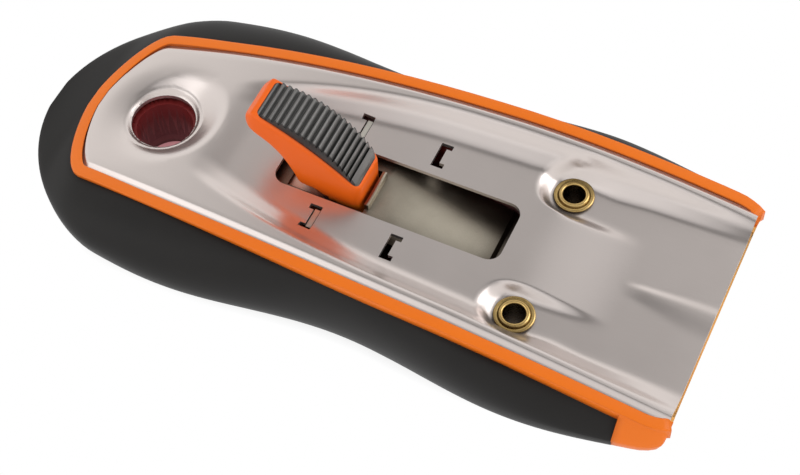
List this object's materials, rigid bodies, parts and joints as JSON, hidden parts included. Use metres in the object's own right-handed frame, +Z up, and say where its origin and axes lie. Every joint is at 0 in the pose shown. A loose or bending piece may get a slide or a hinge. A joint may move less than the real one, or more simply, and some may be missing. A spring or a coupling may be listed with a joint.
{
  "type": "window scraper",
  "caption": "Hand scraper for window glass with a rubber grip, pressed steel cover plate, thumb lever and a blade that slides out at the nose.",
  "frame": {"origin": "middle of the bounding box on the surface the tool lies on", "axes": "+X towards the blade, +Y to the tool's left, +Z up through the cover plate"},
  "size_m": [0.1339, 0.06, 0.0343],
  "materials": {
    "orange_plastic": "satin moulded",
    "black_rubber": "matt moulded",
    "plate_steel": "satin pressed",
    "spring_steel": "rolled",
    "blade_steel": "ground",
    "pin_steel": "turned",
    "eyelet_brass": "bright"
  },
  "bodies": {
    "handle": {"handle_core": "orange_plastic", "grip_cover": "black_rubber", "cover_plate": "plate_steel", "eyelet_left": "eyelet_brass", "eyelet_right": "eyelet_brass", "washer_left": "pin_steel", "washer_right": "pin_steel"},
    "carriage": {"blade_carrier": "spring_steel", "lock_spring": "spring_steel", "spring_rivets": "pin_steel", "blade_pins": "pin_steel", "scraper_blade": "blade_steel", "lever_pin": "pin_steel"},
    "lever": {"thumb_lever": "orange_plastic", "lever_pad": "black_rubber"}
  },
  "joints": [
    {"name": "blade_slide", "type": "slide", "parent": "handle", "child": "carriage", "axis": [1, 0, 0], "range_m": [0, 0.01488], "deforming": ["lock_spring"]},
    {"name": "lever_press", "type": "hinge", "parent": "carriage", "child": "lever", "pos_m": [-0.00048, 0, 0.0146], "axis": [0, -1, 0], "range_deg": [0, 8], "stiffness_Nm_per_rad": 0.6, "deforming": ["lock_spring"]}
  ]
}
